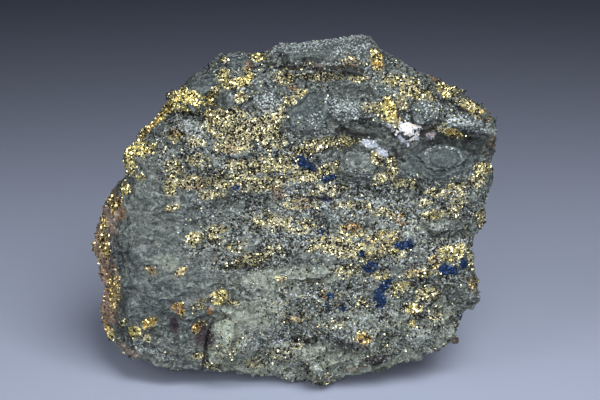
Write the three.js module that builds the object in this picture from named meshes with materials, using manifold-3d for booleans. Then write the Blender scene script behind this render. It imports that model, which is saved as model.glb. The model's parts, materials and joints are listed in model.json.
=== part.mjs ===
// A hand-size block of chalcopyrite ore: green-grey chlorite schist with brassy chalcopyrite
// grown through it, broken out of the vein as one piece of rock. It stands on its rough
// underside, with the broken show face towards -Y. Millimetres, +Z up, X to the right.

import * as THREE from "three";
import { ImprovedNoise } from "three/addons/math/ImprovedNoise.js";
import { mergeVertices } from "three/addons/utils/BufferGeometryUtils.js";
import Module from "manifold-3d";

// ---------------------------------------------------------------- driving dimensions

const CORE = { x: 0, z: 50 }; // the middle of the stone
const BLOCKINESS = 6; // 2 is a rounded pebble, more is a block with steep sides
const SURFACE_CUTS = 19; // cuts in each edge of the icosahedron that the stone starts from
const RIM_LATITUDE = 26; // degrees: lower down the starting sphere is rim, higher up broad face

// The stone's outline seen from the front, clockwise from the top slab. Its lowest points lie
// under the ground, and the underside cuts them off.
const OUTLINE = [
  [20.5, 100], [24, 96.5], [30, 93.5], [37, 90], [45, 85.5], [48.5, 82.5], [56.5, 79],
  [57, 75], [57, 66], [56.3, 60], [55.5, 53], [56, 47], [52, 40], [53, 32],
  [55, 25], [49.8, 21.5], [47.3, 13], [42, 4], [24, -5], [0, -8], [-26, -7],
  [-43, -4], [-56, 6], [-58, 20], [-59.5, 30], [-62.5, 39], [-58.8, 48], [-52.5, 54.5],
  [-49.5, 60], [-48.8, 67], [-46.5, 73], [-34.8, 82.5], [-28.5, 89], [-21, 96], [-8, 97],
  [8, 98.5], [18, 100.5],
];

// The fracture planes of the two broad faces. A plane stands "out" mm from the middle plane
// at the point "at", x and z, and comes out by "slope" for each mm in x and in z.
// The one that lies deepest in the stone is the one that shows.
const FRONT_PLANES = [
  { at: [0, 50], out: 24.5, slope: [0.02, -0.08] }, // the show face, leaning back
  { at: [-35, 40], out: 23, slope: [0.18, -0.02] }, // the smooth left flank
  { at: [-52, 40], out: 18, slope: [1.6, 0.1] }, // the rusty left edge
  { at: [-30, 80], out: 19, slope: [0.3, -0.4] }, // the upper left bevel
  { at: [5, 92], out: 18, slope: [0.05, -0.7] }, // the top slab
  { at: [44, 84], out: 19, slope: [-0.15, -0.7] }, // the right shoulder
  { at: [48, 45], out: 21, slope: [-0.35, 0.05] }, // the right flank
  { at: [36, 16], out: 22, slope: [-0.25, 0.3] }, // the lower right
  { at: [-5, 9], out: 23, slope: [0, 0.65] }, // the rolled-under foot
];
const BACK_PLANES = [
  { at: [0, 50], out: 23, slope: [-0.1, -0.1] },
  { at: [-36, 60], out: 20, slope: [0.3, -0.25] },
  { at: [26, 78], out: 15, slope: [-0.3, -0.4] },
  { at: [44, 40], out: 15, slope: [-0.5, 0.15] },
  { at: [-48, 22], out: 17, slope: [0.55, 0.3] },
  { at: [0, 8], out: 19, slope: [0.05, 0.7] },
];
const LEAST_OUT = 9; // no plane comes closer than this to the middle plane

// The underside, as planes of height "up" at the point "at", x and y. The highest one shows.
const UNDER_PLANES = [
  { at: [0, 0], up: -1.5, slope: [0, 0] }, // the flat that the stone stands on
  { at: [-2, -10], up: 0, slope: [-0.12, -0.19] }, // left of the front foot
  { at: [12, -10], up: 0, slope: [0.22, -0.2] }, // right of the front foot
  { at: [-20, 0], up: -0.5, slope: [-0.25, -0.12] },
  { at: [20, 0], up: -0.5, slope: [0.33, -0.14] },
];

// Steps, where the face drops back by "drop" mm below a lip and comes out again over "reach"
// mm. "at" is the x and z of the lip's middle, "half" its half length, "turn" is in degrees.
const FRONT_STEPS = [
  { at: [5, 92.5], half: 14, drop: 3.5, reach: 7, turn: 2 }, // under the top slab
  { at: [-26, 85], half: 7, drop: 3.5, reach: 6, turn: 8 },
  { at: [-13.5, 38.5], half: 7, drop: 3, reach: 5, turn: -4 },
  { at: [5.5, 17.5], half: 7, drop: 3.5, reach: 6, turn: -12 },
  { at: [19.5, 14], half: 7, drop: 3.5, reach: 6, turn: -5 },
  { at: [19.5, 62], half: 9, drop: 3, reach: 7, turn: -10 }, // under the grey oval
  { at: [-26, 53], half: 8, drop: 1.6, reach: 5, turn: 4 },
  { at: [-15, 58.5], half: 10, drop: 1.8, reach: 7, turn: 0 },
  { at: [44, 48], half: 10, drop: 2.2, reach: 6, turn: 12 },
  { at: [37, 26.5], half: 9, drop: 2.2, reach: 6, turn: 22 },
];
const BACK_STEPS = [
  { at: [12, 70], half: 24, drop: 5, reach: 20, turn: 16 },
  { at: [-22, 48], half: 18, drop: 4, reach: 16, turn: -12 },
  { at: [18, 30], half: 20, drop: 4.5, reach: 14, turn: 6 },
  { at: [-16, 84], half: 13, drop: 3, reach: 9, turn: 20 },
  { at: [-28, 20], half: 12, drop: 3, reach: 8, turn: -20 },
];

// Hollows of the show face under an overhanging ledge, given as the steps are.
const HOLLOWS = [
  { at: [48, 76.6], half: 23, drop: 11, reach: 18, turn: 3 }, // the right hollow
  { at: [22, 77.5], half: 12, drop: 7, reach: 6, turn: -12 },
];
const CEILING_RISE = 0.35; // how far a hollow's ceiling rises for each mm into the rock
const CEILING_ARCH = 1.6; // how far the middle of its lip arches over its ends
const HOLLOW_FRONT = 7; // how far a hollow's cut starts in front of the face
const HOLLOW_DETAIL = 3; // mm of a hollow's half length for each cut in its icosahedron

// The lens in the right hollow. Its middle lies "into" mm behind the show face at x and z.
const LENS = { x: 43, z: 67, into: 6.8, half: [9.5, 4, 5.6], turn: -8, cuts: 5 };

// Swellings of a broad face, "out" mm high in their middle. "half" holds the half sizes.
// One that has a negative height is a dip.
const FRONT_SWELLINGS = [
  { at: [44, 82], half: [17, 5], out: 2, turn: -6 }, // the right ledge
  { at: [19.5, 68], half: [9, 6], out: 2.6, turn: -12 }, // the grey oval
  { at: [50, 84.5], half: [6, 4], out: 2, turn: -30 }, // the ore on the right shoulder
  { at: [-30, 86], half: [8, 5], out: 2, turn: 15 }, // the ore on the upper left edge
  { at: [-37, 37], half: [17, 20], out: 2.4, turn: 0 },
  { at: [-18, 17.5], half: [9, 7], out: 3.4, turn: 15 }, // the pale boulder
  { at: [6.5, 5], half: [6, 9], out: 4, turn: 0 }, // the front foot
  { at: [-4.5, 12.5], half: [6, 6], out: 2, turn: 0 },
  { at: [22, 12], half: [9, 5], out: 2, turn: 8 },
  { at: [37, 21], half: [12, 7], out: 2, turn: 20 },
  { at: [-13.5, 72.5], half: [17, 12], out: 1.8, turn: 0 },
  { at: [30, 43.5], half: [19, 11], out: 1.6, turn: 10 },
  { at: [4, 83], half: [7, 8], out: -1.8, turn: -10 }, // the dark plate
  { at: [-27, 21], half: [3.5, 5.5], out: -2.4, turn: -20 },
];
const BACK_SWELLINGS = [
  { at: [-14, 60], half: [22, 12], out: 3, turn: 12 },
  { at: [24, 44], half: [18, 12], out: 2.6, turn: -18 },
  { at: [0, 18], half: [20, 9], out: 2.6, turn: 6 },
];

// Relief of the broken surface: broad swells, hackly grain and the edges of the layers.
const SWELL = { height: 2.2, length: 24 };
const HACKLE = { height: 2.2, length: 8 };
const LAYER = { height: 1.6, thickness: 11, edge: 0.3, lean: 0.15, wander: 14, length: 22 };
const LAYER_FRAY = { height: 2.5, length: 5.5 }; // how ragged the edges of the layers are
const HOLLOW_HACKLE = { height: 1.3, length: 5 };
const LENS_HACKLE = { height: 0.8, length: 3.5 };

const ROCK = { color: 0x6d7569, roughness: 0.75, metalness: 0.15 };

// ---------------------------------------------------------------- planes and faces

const { degToRad, radToDeg, smoothstep } = THREE.MathUtils;
const noise = new ImprovedNoise();
const FRONT = {
  side: -1, planes: FRONT_PLANES, steps: FRONT_STEPS, swellings: FRONT_SWELLINGS,
};
const BACK = {
  side: 1, planes: BACK_PLANES, steps: BACK_STEPS, swellings: BACK_SWELLINGS,
};

// A smooth height from -1 to 1, with a bump or a dip about every "length" mm.
function ripple({ x, y, z }, length, seed) {
  return noise.noise(x / length + seed, y / length - 2 * seed, z / length + 3 * seed);
}

// The level of a tilted plane over two coordinates.
function planeLevel(level, slope, at, a, b) {
  return level + slope[0] * (a - at[0]) + slope[1] * (b - at[1]);
}

// How far the outline lies from the core in the direction of an angle in the X-Z plane.
function rimDistance(angle) {
  const dx = Math.cos(angle);
  const dz = Math.sin(angle);
  for (let i = 0; i < OUTLINE.length; i++) {
    const [ax, az] = OUTLINE[i];
    const [bx, bz] = OUTLINE[(i + 1) % OUTLINE.length];
    const [edgeX, edgeZ] = [bx - ax, bz - az];
    const [fromX, fromZ] = [ax - CORE.x, az - CORE.z];
    const cross = dx * edgeZ - dz * edgeX;
    const distance = (fromX * edgeZ - fromZ * edgeX) / cross;
    const share = (fromX * dz - fromZ * dx) / cross;
    if (distance > 0 && share >= 0 && share <= 1) return distance;
  }
  throw new Error(`the outline has a gap at ${angle} radians`);
}

// How far a broad face stands out at x and z, before the rounding towards the rim.
function faceDepth(face, x, z) {
  const depths = face.planes.map(({ at, out, slope }) => planeLevel(out, slope, at, x, z));
  return Math.max(LEAST_OUT, Math.min(...depths));
}

// The height of the underside over x and y.
function undersideHeight(x, y) {
  return Math.max(...UNDER_PLANES.map(({ at, up, slope }) => planeLevel(up, slope, at, x, y)));
}

// ---------------------------------------------------------------- the smooth block

// Where a direction from the core meets the smooth block, and the way out of the stone there.
function blockPoint(direction, face) {
  const latitude = radToDeg(Math.asin(Math.abs(direction.y)));
  const across = Math.min(1, (90 - latitude) / (90 - RIM_LATITUDE));
  const deep = Math.min(1, latitude / RIM_LATITUDE);
  const fit = (across ** BLOCKINESS + deep ** BLOCKINESS) ** (-1 / BLOCKINESS);
  const angle = Math.atan2(direction.z, direction.x);
  const rim = rimDistance(angle);
  const x = CORE.x + across * fit * rim * Math.cos(angle);
  const z = CORE.z + across * fit * rim * Math.sin(angle);
  const depth = faceDepth(face, x, z);
  const sideways = (across * fit) ** (BLOCKINESS - 1) / rim;
  const outwards = new THREE.Vector3(
    sideways * Math.cos(angle),
    (face.side * (deep * fit) ** (BLOCKINESS - 1)) / depth,
    sideways * Math.sin(angle),
  ).normalize();
  return { point: new THREE.Vector3(x, face.side * deep * fit * depth, z), outwards };
}

// ---------------------------------------------------------------- relief

// x and z as seen from a feature: "along" its length and "below" its line.
function seenFrom({ at, turn }, { x, z }) {
  const angle = degToRad(turn);
  const [dx, dz] = [x - at[0], z - at[1]];
  return {
    along: dx * Math.cos(angle) + dz * Math.sin(angle),
    below: dx * Math.sin(angle) - dz * Math.cos(angle),
  };
}

function stepDrop(step, point) {
  const { along, below } = seenFrom(step, point);
  if (below < 0) return 0;
  const strength = Math.max(0, 1 - (along / step.half) ** 4);
  return step.drop * strength * Math.max(0, 1 - (below / step.reach) ** 2);
}

function swellingHeight(swelling, point) {
  const { along, below } = seenFrom(swelling, point);
  const share = (along / swelling.half[0]) ** 2 + (below / swelling.half[1]) ** 2;
  return swelling.out * Math.max(0, 1 - share);
}

// Each layer of the schist comes out as it goes down, and then breaks back.
function layerRelief(point) {
  const wander = LAYER.wander * ripple(point, LAYER.length, 3);
  const fray = LAYER_FRAY.height * ripple(point, LAYER_FRAY.length, 6);
  const level = point.z - LAYER.lean * point.x + wander + fray;
  const share = level / LAYER.thickness - Math.floor(level / LAYER.thickness);
  const profile = share < LAYER.edge
    ? share / LAYER.edge
    : (1 - share) / (1 - LAYER.edge);
  const strength = smoothstep(ripple(point, LAYER.length, 4), -0.3, 0.3);
  return LAYER.height * strength * (profile - 0.5);
}

// How far the broken surface stands out of the smooth block.
function relief(point) {
  const swell = SWELL.height * ripple(point, SWELL.length, 1);
  const hackle = HACKLE.height * ripple(point, HACKLE.length, 2);
  return swell + hackle + layerRelief(point);
}

// The part of the relief that a broad face's own steps and swellings give.
function faceRelief(face, point) {
  const out = face.swellings.reduce((sum, swelling) => sum + swellingHeight(swelling, point), 0);
  return out - Math.max(...face.steps.map((step) => stepDrop(step, point)));
}

function surfacePoint(direction) {
  const face = direction.y < 0 ? FRONT : BACK;
  const { point, outwards } = blockPoint(direction, face);
  const facing = smoothstep(Math.abs(outwards.y), 0.1, 0.5);
  point.addScaledVector(outwards, relief(point) + facing * faceRelief(face, point));
  const roughness = HACKLE.height * ripple(point, HACKLE.length, 5);
  point.z = Math.max(point.z, undersideHeight(point.x, point.y) + roughness, 0);
  return point;
}

// ---------------------------------------------------------------- solids

const wasm = await Module();
wasm.setup();

// A closed body made from a sphere, each of whose corners "move" sends to its place.
function bodyFrom(cuts, move) {
  const sphere = new THREE.IcosahedronGeometry(1, cuts);
  sphere.deleteAttribute("normal");
  sphere.deleteAttribute("uv");
  const geometry = mergeVertices(sphere);
  const place = geometry.getAttribute("position");
  const direction = new THREE.Vector3();
  for (let i = 0; i < place.count; i++) {
    direction.fromBufferAttribute(place, i).normalize();
    place.setXYZ(i, ...move(direction));
  }
  const vertProperties = new Float32Array(place.array);
  const triVerts = new Uint32Array(geometry.index.array);
  return new wasm.Manifold(new wasm.Mesh({ numProp: 3, vertProperties, triVerts }));
}

function geometryOf(solid) {
  const mesh = solid.getMesh();
  const geometry = new THREE.BufferGeometry();
  geometry.setAttribute("position", new THREE.BufferAttribute(mesh.vertProperties, 3));
  geometry.setIndex(new THREE.BufferAttribute(mesh.triVerts, 1));
  return geometry;
}

// The point of the show face over x and z.
function onShowFace(surface, x, z) {
  const inFront = new THREE.Vector3(x, -100, z);
  const inwards = new THREE.Vector3(0, 1, 0);
  return new THREE.Raycaster(inFront, inwards).intersectObject(surface)[0].point;
}

// Turns a point in the X-Z plane, carries it to its place and roughens it.
function roughPoint(local, outwards, turn, place, { height, length }) {
  const axis = new THREE.Vector3(0, -1, 0);
  const point = local.applyAxisAngle(axis, degToRad(turn)).add(place);
  return point.addScaledVector(outwards, height * ripple(point, length, 7));
}

// What a hollow takes away: deep right under the lip, and running out below and at the ends.
function hollowCut(surface, { at, half, drop, reach, turn }) {
  const lip = onShowFace(surface, ...at);
  return bodyFrom(Math.round(half / HOLLOW_DETAIL), (direction) => {
    const runOut = (1 - direction.x ** 2) * (1 + Math.min(0, direction.z));
    const into = direction.y * (direction.y > 0 ? drop * runOut : HOLLOW_FRONT);
    const rise = CEILING_RISE * Math.max(0, into);
    const up = direction.z * (direction.z > 0 ? CEILING_ARCH : reach) + rise;
    const local = new THREE.Vector3(direction.x * half, into, up);
    return roughPoint(local, direction, turn, lip, HOLLOW_HACKLE);
  });
}

// The lens of fine-grained rock that stands in the right hollow.
function lensBody(surface, { x, z, into, half, turn, cuts }) {
  const middle = onShowFace(surface, x, z);
  middle.y += into;
  return bodyFrom(cuts, (direction) => {
    const local = new THREE.Vector3(...half).multiply(direction);
    return roughPoint(local, direction, turn, middle, LENS_HACKLE);
  });
}

function brokenStone() {
  const stone = bodyFrom(SURFACE_CUTS, surfacePoint);
  const surface = new THREE.Mesh(geometryOf(stone));
  const cuts = HOLLOWS.map((hollow) => hollowCut(surface, hollow));
  const hollowed = cuts.reduce((rest, cut) => rest.subtract(cut), stone);
  return geometryOf(hollowed.add(lensBody(surface, LENS)));
}

// The origin is the middle of the ground that the stone's box covers.
function standOnOrigin(geometry) {
  geometry.computeBoundingBox();
  const { min, max } = geometry.boundingBox;
  return geometry.translate(-(min.x + max.x) / 2, -(min.y + max.y) / 2, -min.z);
}

// ---------------------------------------------------------------- the part

const rock = new THREE.Mesh(standOnOrigin(brokenStone()), new THREE.MeshStandardMaterial(ROCK));
rock.name = "chalcopyrite_ore";

const part = new THREE.Group();
part.add(rock);
export default part;
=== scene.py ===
# A hand-size block of chalcopyrite ore: green-grey chlorite schist, broken along its layers,
# with brassy chalcopyrite, blue bornite, white calcite and rust grown through it. Metres.

import json
import math

import bpy
import numpy as np
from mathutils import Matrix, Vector, noise

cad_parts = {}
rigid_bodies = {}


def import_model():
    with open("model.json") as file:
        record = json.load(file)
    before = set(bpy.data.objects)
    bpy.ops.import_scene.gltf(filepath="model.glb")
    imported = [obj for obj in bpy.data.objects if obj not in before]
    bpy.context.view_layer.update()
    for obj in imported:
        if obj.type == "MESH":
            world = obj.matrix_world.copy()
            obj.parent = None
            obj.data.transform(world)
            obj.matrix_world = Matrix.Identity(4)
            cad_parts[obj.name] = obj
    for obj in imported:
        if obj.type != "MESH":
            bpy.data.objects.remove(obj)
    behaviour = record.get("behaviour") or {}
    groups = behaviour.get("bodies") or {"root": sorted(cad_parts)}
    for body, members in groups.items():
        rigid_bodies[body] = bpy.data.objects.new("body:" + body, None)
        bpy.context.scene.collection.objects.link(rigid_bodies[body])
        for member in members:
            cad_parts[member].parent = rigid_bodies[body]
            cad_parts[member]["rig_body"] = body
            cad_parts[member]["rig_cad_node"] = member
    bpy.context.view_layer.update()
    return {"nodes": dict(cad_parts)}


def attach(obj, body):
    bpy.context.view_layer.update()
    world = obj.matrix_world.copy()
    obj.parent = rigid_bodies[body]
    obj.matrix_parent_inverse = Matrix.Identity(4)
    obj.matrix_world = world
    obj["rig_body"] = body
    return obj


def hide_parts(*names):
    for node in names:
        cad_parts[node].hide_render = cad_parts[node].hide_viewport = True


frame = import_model()

MM = 0.001

# ---------------------------------------------------------------- camera

LENS_MM = 100
SENSOR_MM = 36
CAMERA_DISTANCE = 0.492
CAMERA_RISE = math.radians(14.5)
AIM = Vector((0.0024, 0, 0.052))
BACK = Vector((0, -math.cos(CAMERA_RISE), math.sin(CAMERA_RISE)))  # towards the camera
RIGHT = Vector((1, 0, 0))
UP = BACK.cross(RIGHT)

# The places below are counted in steps of the camera's view, so many across it and down it.
VIEW_STEPS = (600, 400)
STEPS_PER_SLOPE = VIEW_STEPS[0] * LENS_MM / SENSOR_MM  # for as far aside as away
MM_PER_STEP = 0.295  # on the stone

# ---------------------------------------------------------------- where the minerals lie
# Each place on the broken face is a tilted ellipse: x to the right and y down of its middle,
# its half width and half height, its turn in degrees (anticlockwise) and how strong it is.

ORE = [  # brassy grains and bands
    (191, 102, 21, 10, -14, 1.0), (179, 93, 7, 7, 30, 1.0), (168, 108, 11, 5, 42, 1.0),
    (202, 103, 11, 7, -18, 1.0),
    (158, 119, 12, 3.5, 45, 0.9), (145, 132, 12, 3.5, 48, 0.9), (139, 149, 15, 8, 5, 0.95),
    (129, 166, 6, 8, 10, 1.0), (141, 177, 6, 4, 0, 0.6), (126, 188, 6, 5, 0, 0.7),
    (115, 203, 6, 6, 30, 0.6), (177, 135, 8, 7, 0, 0.95), (196, 142, 10, 5, -10, 0.8),
    (214, 91, 6, 5, 30, 0.95), (224, 75, 6, 6, -30, 0.8), (224, 60, 4, 3, 0, 0.7),
    (259, 57, 8, 4, 15, 1.0), (248, 75, 4, 8, 10, 0.95), (236, 83, 11, 5, 10, 0.95),
    (241, 97, 6, 5, 0, 0.9), (285, 78, 10, 8, 10, 0.95), (290, 101, 6, 5, 0, 0.95),
    (300, 93, 7, 4, 30, 0.9), (272, 120, 9, 10, 0, 0.9), (281, 112, 5, 8, 0, 0.85),
    (226, 116, 20, 7, 3, 0.85), (232, 130, 27, 12, -5, 0.9), (256, 129, 16, 12, 0, 0.9),
    (232, 146, 18, 8, 0, 0.85), (273, 140, 12, 9, 0, 0.8), (288, 163, 12, 8, 10, 0.9),
    (262, 166, 24, 8, 8, 0.9), (238, 164, 12, 5, 5, 0.8), (174, 168, 9, 9, 15, 0.85),
    (170, 186, 7, 10, 10, 0.9), (196, 160, 14, 6, 0, 0.7), (192, 182, 18, 7, 0, 0.65),
    (230, 181, 26, 8, 5, 0.75), (266, 184, 20, 8, 8, 0.75), (214, 195, 14, 5, 0, 0.6),
    (312, 147, 18, 6, 12, 0.98), (340, 141, 20, 5, 6, 0.98), (312, 175, 22, 6, 8, 0.9),
    (330, 168, 10, 5, 20, 0.85), (378, 160, 8, 5, -50, 0.95), (391, 168, 6, 11, 0, 0.95),
    (380, 179, 9, 5, 30, 0.95), (388, 110, 9, 11, 15, 1.0), (370, 107, 9, 5, 10, 0.7),
    (396, 121, 5, 6, 0, 0.9), (402, 104, 6, 8, 0, 0.75), (390, 80, 9, 6, 0, 0.95),
    (407, 82, 11, 6, -15, 0.8), (377, 62, 5, 12, 15, 0.85), (350, 60, 8, 4, 10, 0.5),
    (322, 76, 22, 4, 0, 0.85), (358, 78, 10, 3.5, 0, 0.75), (424, 95, 14, 4, -20, 0.95),
    (447, 90, 12, 7, -25, 0.85), (470, 107, 18, 5, -30, 0.8), (410, 92, 12, 5, -20, 0.8),
    (450, 132, 13, 3.6, -20, 1.0), (439, 129, 4, 4, 0, 0.9), (483, 168, 10, 6, 5, 0.95),
    (476, 180, 8, 6, 5, 0.9), (458, 186, 12, 4, 10, 0.85), (437, 193, 10, 4, 0, 0.8),
    (455, 207, 9, 9, 15, 0.65), (405, 184, 13, 4, -12, 0.95), (424, 203, 6, 4, 10, 0.7),
    (433, 215, 9, 3.5, 10, 0.95), (480, 218, 4, 8, 0, 0.9), (462, 197, 6, 6, 0, 0.5),
    (300, 203, 20, 6, 0, 0.6), (352, 205, 20, 5, 0, 0.6), (386, 213, 18, 5, -8, 0.55),
    (325, 190, 22, 6, 5, 0.6), (384, 239, 16, 8, 10, 0.85), (352, 231, 14, 7, 0, 0.8),
    (330, 245, 24, 7, 5, 0.8), (354, 251, 20, 7, 5, 0.75), (376, 252, 14, 6, 8, 0.75),
    (397, 252, 8, 6, 0, 0.9), (298, 226, 18, 8, 0, 0.5), (270, 222, 18, 8, 0, 0.55),
    (452, 253, 16, 8, 8, 1.0), (434, 262, 7, 6, 0, 0.9), (472, 284, 5, 7, 10, 0.7),
    (472, 262, 4, 8, 0, 0.8), (420, 273, 18, 4, 6, 0.8), (381, 274, 9, 5, 5, 0.95),
    (400, 287, 12, 6, 20, 0.9), (428, 294, 13, 7, 10, 0.7), (362, 303, 7, 5, 20, 0.75),
    (345, 270, 14, 5, -8, 0.6), (413, 309, 8, 5, 10, 1.0), (412, 324, 5, 4, 0, 0.95),
    (434, 316, 8, 4, 12, 0.6), (364, 338, 7, 5, 0, 1.0), (324, 294, 5, 4, 0, 0.9),
    (300, 318, 12, 4, 0, 0.5), (336, 325, 12, 4, 5, 0.45), (296, 345, 10, 5, 0, 0.5),
    (468, 323, 4, 10, 0, 0.7), (216, 230, 10, 5, 12, 0.85), (194, 239, 8, 6, 30, 0.85),
    (211, 240, 10, 4, 0, 0.6), (250, 260, 18, 6, 14, 0.9), (235, 246, 12, 5, 15, 0.6),
    (281, 279, 5, 4, 0, 1.0), (276, 248, 12, 5, 0, 0.5), (219, 298, 8, 7, 10, 1.0),
    (233, 303, 7, 4, 0, 0.6), (200, 304, 9, 4, 30, 0.55), (176, 306, 6, 3, 15, 0.85),
    (182, 312, 3, 4, 0, 0.7),
    (182, 271, 7, 3.5, 30, 0.75), (151, 271, 6, 4, -30, 0.65), (150, 323, 8, 4, 30, 0.85),
    (134, 332, 7, 6, -20, 0.95), (124, 322, 4, 3, 0, 0.9), (146, 338, 6, 4, -20, 0.6),
    (200, 324, 7, 3.5, 30, 0.9), (196, 331, 4, 4, 0, 0.7), (200, 356, 7, 3, 0, 0.85),
    (212, 366, 12, 3.5, -8, 0.7),
    (174, 207, 10, 3, 15, 0.75), (105, 246, 4, 12, 5, 0.8), (115, 292, 5, 16, 5, 0.75),
    (110, 334, 5, 12, 25, 0.85), (113, 205, 4, 8, 20, 0.7), (104, 224, 4, 10, 0, 0.6),
    (98, 250, 12, 40, 0, 0.25), (106, 290, 12, 30, 8, 0.25), (110, 196, 5, 10, 10, 0.7),
    (257, 363, 16, 6, 0, 0.5), (226, 352, 12, 8, 0, 0.35), (280, 353, 12, 6, 0, 0.5),
]
SPECKLED = [  # schist full of dark and pale grains
    (240, 150, 82, 42, 4, 1.0), (330, 215, 105, 38, 4, 1.0), (395, 262, 76, 38, 8, 0.9),
    (255, 240, 70, 30, 8, 0.95), (330, 300, 80, 34, 4, 0.75), (430, 200, 58, 24, 0, 0.7),
    (425, 95, 66, 22, -22, 0.6), (390, 110, 30, 18, 0, 0.8), (285, 350, 60, 26, 0, 0.6),
    (300, 90, 30, 24, 0, 0.35), (185, 125, 40, 20, 30, 0.75), (245, 75, 35, 22, 10, 0.5),
    (225, 335, 16, 22, -20, 0.45), (330, 70, 50, 10, 0, 0.6), (410, 330, 60, 26, 12, 0.75),
]
SMOOTH = [  # facets with few grains and little hackle
    (308, 113, 22, 24, -20, 1.0), (357, 168, 22, 14, -8, 0.4), (436, 162, 35, 21, -4, 1.0),
    (318, 48, 50, 10, 5, 0.6), (388, 92, 16, 6, -5, 0.8), (422, 112, 15, 11, -25, 0.9),
    (465, 128, 32, 9, -10, 0.5), (158, 235, 32, 54, 8, 0.8), (150, 295, 34, 28, 0, 0.7),
    (185, 285, 30, 22, 0, 0.6), (452, 225, 22, 7, 5, 0.7), (290, 276, 46, 8, 4, 0.6),
    (430, 335, 26, 14, 18, 0.3), (227, 100, 12, 8, 0, 0.9), (202, 88, 14, 9, 20, 0.8),
    (192, 126, 11, 8, 0, 0.4), (145, 190, 16, 20, 0, 0.8), (157, 126, 9, 7, 20, 0.8),
    (222, 340, 17, 20, -20, 0.4), (255, 320, 26, 24, 8, 0.45), (99, 260, 9, 60, 0, 0.3),
]
PALE = [  # pale, greenish schist
    (222, 340, 19, 26, -20, 1.0), (290, 278, 48, 10, 4, 0.6), (312, 374, 18, 10, 0, 0.6),
    (255, 312, 32, 16, 8, 0.55), (240, 364, 26, 10, 0, 0.7), (166, 262, 12, 7, -10, 0.45),
    (350, 320, 26, 12, 0, 0.4), (345, 365, 30, 10, 8, 0.7), (230, 126, 36, 14, 0, 0.6),
    (410, 338, 60, 24, 14, 0.6), (320, 362, 90, 16, 0, 0.9), (415, 228, 40, 8, 6, 0.4),
]
RUST = [  # rusty stains
    (352, 227, 9, 5, 10, 1.0), (303, 204, 9, 6, 0, 0.8), (278, 193, 7, 7, 0, 0.9),
    (436, 262, 6, 5, 0, 0.8), (177, 308, 7, 4, -10, 0.9), (199, 327, 7, 5, 30, 0.8),
    (110, 192, 7, 12, 10, 0.6),
    (210, 312, 4, 4, 0, 0.9), (436, 129, 5, 3, 0, 0.6), (448, 130, 9, 2, -20, 0.6),
    (484, 116, 8, 5, -20, 0.6), (433, 78, 4, 4, 0, 0.8), (492, 146, 7, 12, 0, 0.25),
    (350, 62, 11, 6, 0, 0.5), (378, 68, 7, 9, 10, 0.4), (310, 66, 26, 3, -2, 0.4),
    (249, 65, 3.5, 5, 0, 1.0), (293, 88, 5, 4, 0, 0.8), (204, 107, 6, 3, 0, 0.9),
    (175, 132, 6, 5, 0, 0.7), (232, 150, 6, 5, 0, 0.7), (195, 186, 14, 4, 0, 0.6),
    (150, 129, 13, 2, 48, 0.45), (165, 112, 11, 2, 45, 0.45), (397, 117, 5, 7, 0, 0.4),
    (102, 250, 6, 44, 4, 0.35), (113, 292, 7, 28, 6, 0.4), (105, 322, 8, 14, -20, 0.5),
    (118, 208, 5, 14, 20, 0.6), (150, 322, 8, 4, 30, 0.5), (366, 340, 7, 6, 0, 0.8),
    (400, 220, 8, 6, -30, 0.7), (325, 295, 5, 5, 0, 0.7), (386, 240, 20, 8, 5, 0.3),
    (415, 272, 12, 5, 0, 0.4), (474, 284, 6, 7, 0, 0.5), (298, 320, 12, 4, 0, 0.5),
    (151, 271, 6, 4, -30, 0.6), (182, 271, 7, 3.5, 30, 0.5), (220, 258, 10, 6, 0, 0.3),
]
DEEP_SCHIST_AND_SHADE = [  # darker, bluish schist, and painted shade on the upper face and in the eye's hollow
    (308, 113, 24, 26, -20, 1.0), (320, 60, 70, 26, 5, 0.7), (440, 120, 62, 26, -15, 1.0),
    (437, 163, 42, 24, 0, 1.0), (205, 88, 30, 14, 30, 1.0), (230, 60, 40, 14, 20, 0.9),
    (260, 90, 90, 50, 10, 0.5),
    (360, 95, 40, 20, -20, 0.6), (157, 126, 12, 9, 30, 0.7), (380, 190, 40, 10, 10, 0.6),
    (140, 240, 24, 40, 10, 0.4), (190, 185, 20, 30, 0, 0.4), (460, 102, 34, 14, -28, 1.0),
    (150, 270, 44, 60, 0, 0.3),
]
KNOBBY = [  # rounded knobs
    (390, 325, 80, 44, 12, 1.0), (330, 360, 70, 24, 0, 1.0), (255, 350, 50, 22, 0, 0.8),
    (452, 225, 34, 16, 0, 0.7), (300, 300, 60, 24, 0, 0.6), (160, 345, 50, 14, -20, 0.6),
    (98, 250, 12, 70, 0, 0.6),
]
VIOLET = [  # dark violet tarnish
    (204, 336, 9, 15, 20, 1.0), (174, 325, 4.5, 9, 5, 1.0), (376, 360, 12, 5, 10, 0.9),
    (345, 345, 14, 5, 0, 0.8), (302, 340, 9, 4, -4, 0.8), (326, 199, 7, 3, -10, 0.8),
]
PINK = [  # pinkish weathering
    (100, 228, 14, 22, -8, 1.0), (94, 262, 16, 28, 0, 1.0), (100, 288, 16, 28, 8, 1.0),
    (105, 318, 9, 14, -15, 0.8), (111, 205, 8, 14, 25, 0.8), (124, 349, 16, 5, -25, 0.5),
    (430, 134, 6, 4, 0, 0.6),
]
BLUE = [  # bornite
    (301, 162, 9, 5, -25, 1.0), (312, 168, 5, 3, -30, 0.9), (328, 178, 8, 2.5, 15, 1.0),
    (404, 245, 10, 4.5, 10, 1.0), (371, 267, 6, 4.5, 15, 1.0), (384, 287, 6, 4, 25, 0.9),
    (380, 299, 6, 9, 15, 1.0), (387, 284, 4, 5, 0, 0.9), (448, 270, 10, 4.5, -12, 1.0),
    (463, 263, 3.5, 4, 0, 0.9), (360, 254, 4, 2.5, 0, 0.8), (330, 295, 2.5, 3, 0, 0.8),
    (326, 306, 2.5, 4, 10, 0.7), (343, 309, 5, 2.5, 0, 0.8), (321, 231, 4, 3, 0, 0.7),
    (236, 187, 4, 3, 0, 0.8), (459, 316, 3, 5, 20, 0.6), (326, 199, 6, 2.5, -10, 0.8),
]
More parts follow.
